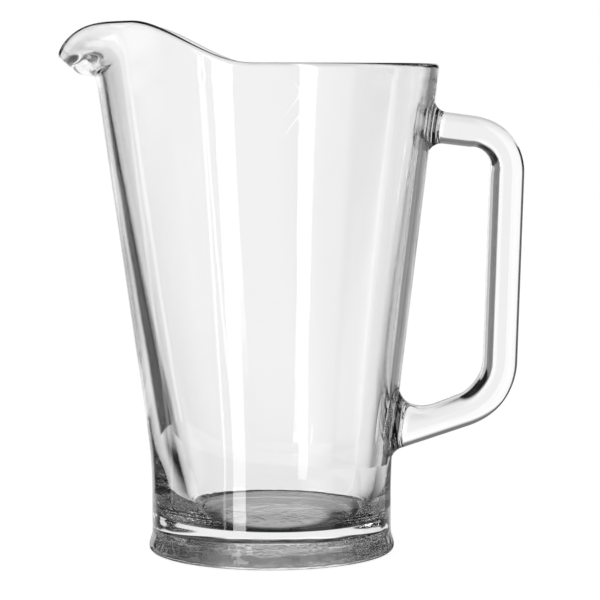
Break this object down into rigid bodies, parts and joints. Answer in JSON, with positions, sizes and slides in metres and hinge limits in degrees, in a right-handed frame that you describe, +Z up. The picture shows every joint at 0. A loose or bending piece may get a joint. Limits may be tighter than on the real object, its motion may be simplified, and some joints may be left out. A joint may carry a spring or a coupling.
{
  "type": "water pitcher",
  "caption": "Clear pressed-glass water pitcher: flared bowl on a heavy base, spout drawn from the rim, solid glass loop handle bonded at two flared roots.",
  "frame": {"origin": "middle of the bounding box from spout tip to handle, at the level of the ring the pitcher stands on; the bowl's own axis is 8.85 mm towards the spout from it", "axes": "+Z up along the bowl's axis, -X towards the spout, +X towards the handle, Y across"},
  "size_m": [0.2042, 0.1508, 0.2326],
  "materials": {
    "glass_body": "clear, fire-polished",
    "handle": "clear, fire-polished"
  },
  "bodies": {
    "root": {"glass_body": "glass_body", "handle": "handle"}
  },
  "joints": []
}
